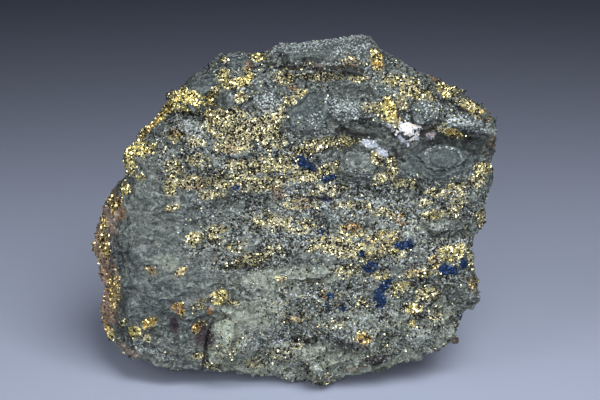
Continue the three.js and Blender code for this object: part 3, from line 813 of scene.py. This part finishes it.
def make_grains(rock, weights):
    """Lays the grains of every kind on the rock, each kind where its mineral is."""
    points, normals = vertex_places(rock)
    open_face = how_open(points, normals)
    ore, rich, speckled = weights["ore"], weights["rich"], weights["speckled"]
    pale, flecks_and_highlights, hollow = weights["pale"], weights["flecks_and_highlights"], weights["hollow"]
    blue, white = weights["blue"], weights["white"]
    clump = ripple(points, 1.7 * MM, 12) + 0.6 * ripple(points, 0.8 * MM, 13)
    clump = smooth_ramp(clump, -0.35, 0.35)
    seen = 0.4 + 0.6 * open_face
    bare = 1 - weights["smooth"] * 0.7
    free = 1 - smooth_ramp(white, 0.35, 0.7)
    # fewer grains where shade is painted, in the hollows and the undercuts
    high = (1 - 0.6 * hollow * (1 - rich)) * (1 - 0.7 * weights["shaded"])
    dense = 0.5 + 0.5 * pale + 2.4 * rich
    brass_light = np.clip(0.6 - 0.35 * rich + 0.4 * pale, 0, 1)
    ore_chance = ore ** 2 * (0.2 + clump) * seen * high * dense * free
    speck_chance = (ore * (0.3 + clump) + 0.2 * speckled) * seen
    dark_chance = (0.45 * speckled + 0.8 * ore * (1 - 0.5 * rich)) * (1.3 - clump)
    # more dark grains in the hollows, where shade is painted
    dark_chance = dark_chance * seen * bare * (0.5 + hollow) * free
    # pale grains, also laid along the painted highlights on the rims
    pale_chance = (0.6 * speckled + flecks_and_highlights) * clump * seen * bare
    calcite_chance = np.maximum(white - 0.45, 0) * seen * open_face
    chips = [
        grain_shape("blocky_chip", (1, 0.9, 0.8), 1),
        grain_shape("flat_chip", (1, 0.8, 0.45), 2),
        grain_shape("long_chip", (1, 0.55, 0.5), 3),
    ]
    specks = [speck_shape("sharp_speck", 4), speck_shape("blunt_speck", 5)]
    rust, violet = weights["rust"], weights["violet"]
    scatter(rock, "chalcopyrite_grains", chips, ore_chance, brass_light, rust)
    scatter(rock, "chalcopyrite_specks", specks, speck_chance, brass_light, rust)
    scatter(rock, "dark_grains", specks, dark_chance, violet, violet)
    scatter(rock, "pale_grains", specks, pale_chance, flecks_and_highlights, pale)
    scatter(rock, "bornite_grains", chips, blue ** 2 * seen, 0.2 * blue, violet)
    scatter(rock, "calcite_grains", chips, calcite_chance, white ** 3, weights["pink"])
    for shape in chips + specks:
        bpy.data.objects.remove(shape)


# ---------------------------------------------------------------- finishes


class Finish:
    """A material whose nodes are added and joined in a row."""

    def __init__(self, name):
        self.material = bpy.data.materials.new(name)
        self.material.use_nodes = True
        self.tree = self.material.node_tree
        self.surface = self.tree.nodes["Principled BSDF"]
        self.place = self.node("ShaderNodeTexCoord").outputs["Object"]

    def node(self, kind, settings=None, **inputs):
        made = self.tree.nodes.new(kind)
        for key, value in (settings or {}).items():
            setattr(made, key, value)
        for key, value in inputs.items():
            self.join(value, made.inputs[key])
        return made

    def join(self, value, socket):
        if isinstance(value, bpy.types.NodeSocket):
            self.tree.links.new(value, socket)
        else:
            socket.default_value = value

    def set(self, name, value):
        self.join(value, self.surface.inputs[name])

    def maths(self, operation, *values):
        made = self.node("ShaderNodeMath", {"operation": operation})
        for value, socket in zip(values, made.inputs):
            self.join(value, socket)
        return made.outputs[0]

    def times(self, first, second):
        return self.maths("MULTIPLY", first, second)

    def times_plus(self, first, second, more):
        """The first times the second, and more."""
        return self.maths("MULTIPLY_ADD", first, second, more)

    def most(self, first, second):
        """The larger of the two."""
        return self.maths("MAXIMUM", first, second)

    def rest(self, value):
        """What the value leaves of 1."""
        return self.maths("SUBTRACT", 1.0, value)

    def where_below(self, value, limit):
        """1 where the value is below the limit, 0 elsewhere."""
        return self.maths("LESS_THAN", value, limit)

    def vector(self, operation, *values):
        made = self.node("ShaderNodeVectorMath", {"operation": operation})
        for value, socket in zip(values, made.inputs):
            self.join(value, socket)
        return made.outputs[0]

    def attribute(self, name):
        return self.node("ShaderNodeAttribute", {"attribute_name": name}).outputs["Fac"]

    def stretched(self, size, turn=0):
        """Object coordinates with one unit for size metres along each axis."""
        mapping = self.node("ShaderNodeMapping", Vector=self.place)
        mapping.inputs["Rotation"].default_value = (0, math.radians(turn), 0)
        mapping.inputs["Scale"].default_value = [1 / s for s in size]
        return mapping.outputs[0]

    def cloud(self, size, detail, roughness, turn=0, distortion=0):
        made = self.node("ShaderNodeTexNoise", Vector=self.stretched(size, turn), Scale=1.0,
                         Detail=detail, Roughness=roughness, Distortion=distortion)
        return made.outputs["Fac"]

    def cells(self, size):
        """A random colour for each cell of this size."""
        made = self.node("ShaderNodeTexVoronoi", Vector=self.stretched(size), Scale=1.0)
        return made.outputs["Color"]

    def fractures(self, size, turn):
        """Thin crooked lines between broken pieces of this size: 1 on a line, 0 beside it."""
        place = self.stretched(size, turn)
        bend = self.node("ShaderNodeTexNoise", Vector=place, Scale=1.6, Detail=5.0)
        bend = self.vector("SUBTRACT", bend.outputs["Color"], (0.5, 0.5, 0.5))
        bent = self.vector("MULTIPLY_ADD", bend, (1.5, 1.5, 1.5), place)
        gap = self.node("ShaderNodeTexVoronoi", {"feature": "DISTANCE_TO_EDGE"}, Vector=bent,
                        Scale=1.0)
        return self.ramp(gap.outputs["Distance"], 0.07, 0.01)

    def ramp(self, value, low, high, start=0.0, end=1.0):
        made = self.node("ShaderNodeMapRange", {"interpolation_type": "SMOOTHSTEP"})
        for socket, given in zip(made.inputs, (value, low, high, start, end)):
            self.join(given, socket)
        return made.outputs[0]

    def mix(self, share, first, second):
        made = self.node("ShaderNodeMix", {"data_type": "RGBA"})
        self.join(share, made.inputs["Factor"])
        self.join(first, made.inputs[6])
        self.join(second, made.inputs[7])
        return made.outputs[2]

    def parts(self, colour):
        return self.node("ShaderNodeSeparateColor", Color=colour).outputs

    def bump(self, height, strength, depth):
        made = self.node("ShaderNodeBump", Strength=strength, Distance=depth, Height=height)
        return made.outputs[0]


def colour(red, green, blue):
    """A colour given in 0 to 255, as linear light."""
    return (*[(c / 255) ** 2.2 for c in (red, green, blue)], 1)


PAPER = (0.305, 0.341, 0.442, 1)  # in linear light
SCHIST, SCHIST_LIGHTER = colour(64, 70, 69), colour(95, 101, 97)
SCHIST_PALE, SCHIST_DEEP_AND_SHADE = colour(145, 153, 137), colour(42, 51, 55)
SCHIST_IN_ORE, RAISED_EDGE_PALE = colour(118, 110, 80), colour(156, 166, 166)
STREAK_LIGHT, STREAK_DARK = colour(129, 135, 131), colour(40, 47, 49)
# the second is the near black that paints shade into cracks, undercuts, hollows and gaps
MOTTLE_DARK, CREVICE_SHADE = colour(42, 48, 50), colour(16, 15, 16)
GRAIN_DARKER, GRAIN_LIGHTER = colour(32, 38, 39), colour(170, 178, 174)
WEATHERED_PINK, RUST_BROWN = colour(166, 142, 128), colour(134, 94, 52)
VIOLET_TARNISH, FLECK_AND_HIGHLIGHT_PALE = colour(56, 46, 54), colour(164, 172, 174)
SPECK_BLACK, SPECK_IN_ORE = colour(14, 14, 18), colour(22, 18, 12)
BRASS_DULL, BRASS_BRIGHT = colour(198, 186, 136), colour(236, 230, 196)
BRASS_RICH, BRASS_RUSTY = colour(240, 226, 150), colour(184, 140, 86)
BORNITE_DARK, BORNITE_BLUE = colour(26, 34, 52), colour(62, 80, 116)
CALCITE_GREY, CALCITE_WHITE = colour(138, 146, 162), colour(204, 199, 190)

# The finish of each kind of grain: its darkest, lightest and tarnished colour, how metallic it
# is and how rough.
GRAIN_FINISHES = {
    "brassy_chalcopyrite": (colour(208, 192, 112), colour(244, 241, 206),
                            colour(186, 134, 70), 1.0, 0.3),
    "dark_sulphide": (colour(10, 10, 9), colour(56, 52, 44), colour(46, 34, 38), 0.2, 0.45),
    "pale_silicate": (colour(108, 116, 114), colour(150, 160, 162),
                      colour(132, 134, 112), 0.0, 0.6),
    "blue_bornite": (colour(22, 29, 47), colour(66, 96, 146), colour(48, 44, 58), 0.6, 0.32),
    "white_calcite": (colour(140, 148, 166), colour(208, 203, 195),
                      colour(200, 180, 170), 0.0, 0.5),
}
METAL_ROUGHNESS = 0.34


class RockFinish(Finish):
    """The schist and its minerals, as layers that are laid one over the other."""

    def __init__(self):
        super().__init__("schist_with_ore")
        self.ore, self.speckled = self.attribute("ore"), self.attribute("speckled")
        self.smooth = self.attribute("smooth")
        self.broad = self.cloud((10 * MM, 9 * MM, 6 * MM), detail=4, roughness=0.6, turn=-8)
        self.streak = self.cloud((2.8 * MM, 2.4 * MM, 1.4 * MM), detail=6, roughness=0.75,
                                 turn=-9, distortion=0.6)
        self.mottle = self.cloud((0.8 * MM,) * 3, detail=4, roughness=0.7)
        self.tiny = self.cells((0.42 * MM, 0.42 * MM, 0.36 * MM))
        self.draws = self.parts(self.tiny)  # three random numbers for each tiny grain

    def schist(self):
        """The bare schist, streaked along its layers."""
        tone = self.mix(self.ramp(self.broad, 0.35, 0.65), SCHIST, SCHIST_LIGHTER)
        tone = self.mix(self.ramp(self.streak, 0.5, 0.64), tone, STREAK_LIGHT)
        tone = self.mix(self.ramp(self.streak, 0.46, 0.35), tone, STREAK_DARK)
        tone = self.mix(self.ramp(self.mottle, 0.5, 0.34), tone, MOTTLE_DARK)
        pale = self.times(self.attribute("pale"), self.ramp(self.mottle, 0.2, 0.6))
        tone = self.mix(pale, tone, SCHIST_PALE)
        # the deep zone: darker, bluish schist, and painted shade on the upper face and in the
        # eye's hollow
        tone = self.mix(self.times(self.attribute("deep"), 0.65), tone, SCHIST_DEEP_AND_SHADE)
        return self.mix(self.times(self.ore, 0.6), tone, SCHIST_IN_ORE)

    def grained(self, tone):
        """Paler edges, and each tiny grain of the rock a little darker or lighter."""
        # raised edges painted paler
        edge = self.times(self.attribute("raised"), self.times_plus(self.smooth, -0.3, 0.42))
        tone = self.mix(edge, tone, RAISED_EDGE_PALE)
        grainy = self.times_plus(self.smooth, -0.12, 0.25)
        grainy = self.times_plus(self.speckled, 0.35, grainy)
        darker = self.times(self.ramp(self.draws[0], 0.3, 1.0), grainy)
        tone = self.mix(darker, tone, GRAIN_DARKER)
        lighter = self.times(self.ramp(self.draws[2], 0.6, 1.0), grainy)
        return self.mix(lighter, tone, GRAIN_LIGHTER)

    def stained(self, tone):
        """Pinkish weathering, grains of rust and violet tarnish."""
        pink = self.times(self.attribute("pink"), self.ramp(self.streak, 0.3, 0.6, 0.3, 0.85))
        tone = self.mix(pink, tone, WEATHERED_PINK)
        rust = self.times(self.attribute("rust"), self.ramp(self.mottle, 0.3, 0.6))
        rusty = self.where_below(self.draws[1], rust)
        tone = self.mix(self.times(rusty, 0.8), tone, RUST_BROWN)
        violet = self.times(self.attribute("violet"), self.ramp(self.mottle, 0.3, 0.5))
        return self.mix(violet, tone, VIOLET_TARNISH)

    def dark_specks(self):
        share = self.most(self.times(self.speckled, 0.28), self.times(self.ore, 0.4))
        return self.where_below(self.draws[1], share)

    def specked(self, tone, dark):
        """Dark specks, and pale flecks that also paint highlights on the rims."""
        tone = self.mix(dark, tone, self.mix(self.ore, SPECK_BLACK, SPECK_IN_ORE))
        share = self.times_plus(self.attribute("flecks_and_highlights"), 0.26, self.times(self.speckled, 0.13))
        return self.mix(self.where_below(self.draws[2], share), tone, FLECK_AND_HIGHLIGHT_PALE)

    def brassy_grains(self, dark):
        """1 on each tiny grain that is brass, more of them where the ore clumps."""
        clump = self.cloud((1.5 * MM,) * 3, detail=3, roughness=0.6)
        clumped = self.times_plus(self.maths("SUBTRACT", clump, 0.5), 1.3, self.ore)
        share = self.times(self.ramp(clumped, 0.3, 0.75), 0.9)
        share = self.times_plus(self.speckled, 0.1, share)
        return self.times(self.where_below(self.draws[0], share), self.rest(dark))

    def brass(self):
        tone = self.mix(self.draws[1], BRASS_DULL, BRASS_BRIGHT)
        tone = self.mix(self.times(self.attribute("rich"), 0.8), tone, BRASS_RICH)
        return self.mix(self.times(self.attribute("rust"), 0.6), tone, BRASS_RUSTY)

    def patch(self, name, raggedness):
        """Where a mineral lies under its grains, with a ragged edge."""
        ragged = self.times_plus(self.maths("SUBTRACT", self.mottle, 0.5), raggedness,
                                 self.attribute(name))
        return self.ramp(ragged, 0.4, 0.6)

    def bornite(self):
        bright = self.maths("GREATER_THAN", self.draws[2], 0.75)
        return self.mix(bright, BORNITE_DARK, BORNITE_BLUE)

    def calcite(self):
        whitest = self.ramp(self.attribute("white"), 0.6, 0.72)
        return self.mix(whitest, CALCITE_GREY, CALCITE_WHITE)

    def painted_shade(self, white):
        """How much painted shade darkens the cracks, the undercuts, the hollows and the gaps in
        broken rock.
        """
        shade_share = self.ramp(self.attribute("crack"), 0.12, 0.7, 0, 0.85)
        shaded = self.times(self.attribute("shaded"), self.ramp(self.streak, 0.7, 0.35, 0.45, 1.0))
        shade_share = self.most(shade_share, self.times(shaded, 0.85))
        shade_share = self.most(shade_share, self.times(self.attribute("hollow"), 0.6))
        wide_gap = self.times(self.fractures((3.4 * MM, 3.2 * MM, 1.7 * MM), -9), 0.9)
        fine_gap = self.times(self.fractures((1.5 * MM, 1.4 * MM, 0.9 * MM), 15), 0.8)
        gap = self.times(self.most(wide_gap, fine_gap), self.ramp(self.broad, 0.3, 0.6))
        shade_share = self.most(shade_share, self.times(gap, self.rest(self.times(self.smooth, 0.75))))
        return self.times(shade_share, self.rest(self.times(white, 0.7)))

    def facets(self, brassy):
        """A fine bump, and a facet of its own for each tiny grain."""
        bump = self.bump(self.maths("ADD", self.streak, self.mottle), 0.8, 0.4 * MM)
        amount = self.times_plus(brassy, 0.9, self.times_plus(self.speckled, 0.4, 0.08))
        lean = self.node("ShaderNodeVectorMath", {"operation": "SCALE"}, Scale=amount)
        self.join(self.vector("SUBTRACT", self.tiny, (0.5, 0.5, 0.5)), lean.inputs[0])
        return self.vector("NORMALIZE", self.vector("ADD", bump, lean.outputs[0]))


def rock_finish():
    f = RockFinish()
    dark = f.dark_specks()
    brassy = f.brassy_grains(dark)
    blue, white = f.patch("blue", 1.4), f.patch("white", 1.2)
    shade_share = f.painted_shade(white)
    base = f.specked(f.stained(f.grained(f.schist())), dark)
    base = f.mix(brassy, base, f.brass())
    base = f.mix(blue, base, f.bornite())
    base = f.mix(white, base, f.calcite())
    # painted shade over the cracks, undercuts, hollows and gaps
    f.set("Base Color", f.mix(shade_share, base, CREVICE_SHADE))
    metal = f.times(f.most(brassy, f.times(blue, 0.6)), f.rest(f.most(white, shade_share)))
    f.set("Metallic", metal)
    dull = f.ramp(f.mottle, 0.3, 0.7, 0.62, 0.85)
    f.set("Roughness", f.times_plus(metal, f.maths("SUBTRACT", METAL_ROUGHNESS, dull), dull))
    f.set("Specular IOR Level", 0.16)
    f.set("Normal", f.facets(brassy))
    return f.material


def grain_finish(name):
    """The finish of joined grains, each with a tone of its own, made when first needed."""
    if name in bpy.data.materials:
        return bpy.data.materials[name]
    darkest, lightest, tarnished, metal, roughness = GRAIN_FINISHES[name]
    f = Finish(name)
    mottle = f.cloud((0.35 * MM,) * 3, detail=3, roughness=0.6)
    tone = f.mix(f.attribute("tone"), darkest, lightest)
    spoiled = f.times(f.attribute("tarnish"), f.ramp(f.attribute("tone"), 0.9, 0.3))
    tone = f.mix(spoiled, tone, tarnished)
    tone = f.mix(f.ramp(mottle, 0.5, 0.25, 0, 0.6), tone, darkest)
    f.set("Base Color", tone)
    f.set("Metallic", metal)
    f.set("Specular IOR Level", 0.2)
    f.set("Roughness", f.ramp(mottle, 0.3, 0.7, roughness - 0.08, roughness + 0.1))
    f.set("Normal", f.bump(mottle, 0.4, 0.12 * MM))
    return f.material


def plain_stage_finish():
    f = Finish("pale_paper")
    f.set("Base Color", PAPER)
    f.set("Roughness", 0.9)
    f.set("Specular IOR Level", 0.1)
    return f.material


# ---------------------------------------------------------------- stage, lights and camera


def make_stage():
    bpy.ops.object.select_all(action="DESELECT")
    bpy.ops.mesh.primitive_plane_add(size=6, location=(0, 0, 0))
    floor = bpy.context.object
    floor.name = "floor"
    floor.data.materials.append(plain_stage_finish())


def soft_light(name, place, target, size, watts, spread, tint=(1, 1, 1)):
    bpy.ops.object.light_add(type="AREA", location=place)
    light = bpy.context.object
    light.name = name
    light.data.size = size
    light.data.energy = watts
    light.data.spread = math.radians(spread)
    light.data.color = tint
    aim = Vector(target) - Vector(place)
    light.rotation_mode = "QUATERNION"
    light.rotation_quaternion = aim.to_track_quat("-Z", "Y")


def make_camera():
    place = AIM + BACK * CAMERA_DISTANCE
    bpy.ops.object.camera_add(location=place)
    camera = bpy.context.object
    camera.name = "camera"
    camera.rotation_mode = "QUATERNION"
    camera.rotation_quaternion = (-BACK).to_track_quat("-Z", "Y")
    camera.data.lens = LENS_MM
    camera.data.sensor_width = SENSOR_MM
    camera.data.clip_start = 0.01
    bpy.context.scene.camera = camera


def make_lights():
    soft_light("key_light", (0.15, -0.38, 0.46), (0, 0, 0.04), size=0.34, watts=2.2, spread=120)
    soft_light("front_light", (0.02, -0.68, 0.15), (0, 0, 0.035), size=0.4, watts=1.5, spread=90,
               tint=(0.98, 0.99, 1))
    soft_light("left_light", (-0.34, -0.40, 0.34), (-0.02, 0, 0.07), size=0.3, watts=0.15,
               spread=60)
    soft_light("back_light", (-0.12, 0.24, 0.30), (0, 0, 0.07), size=0.1, watts=0.04, spread=180,
               tint=(0.95, 0.97, 1))
    world = bpy.data.worlds.new("studio")
    world.use_nodes = True
    room = world.node_tree.nodes["Background"]
    room.inputs["Color"].default_value = (0.32, 0.44, 1.0, 1)
    room.inputs["Strength"].default_value = 0.02
    bpy.context.scene.world = world
    bpy.context.scene.view_settings.view_transform = "Standard"


# ---------------------------------------------------------------- making

SHAPE_ONLY = ("swell", "knobby")  # weights that the rock's finish doesn't read


def finish_rock(rock, weights):
    """Gives the rock its finish and the weights that this reads, the cracks in millimetres."""
    for name, weight in weights.items():
        if name not in SHAPE_ONLY:
            add_attribute(rock, name, weight / MM if name == "crack" else weight)
    rock.data.materials.clear()
    rock.data.materials.append(rock_finish())


make_camera()
make_lights()
make_stage()

rock = make_rock()
weights = rock_weights(rock)
finish_rock(rock, weights)
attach(rock, "root")
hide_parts("chalcopyrite_ore")
make_grains(rock, weights)
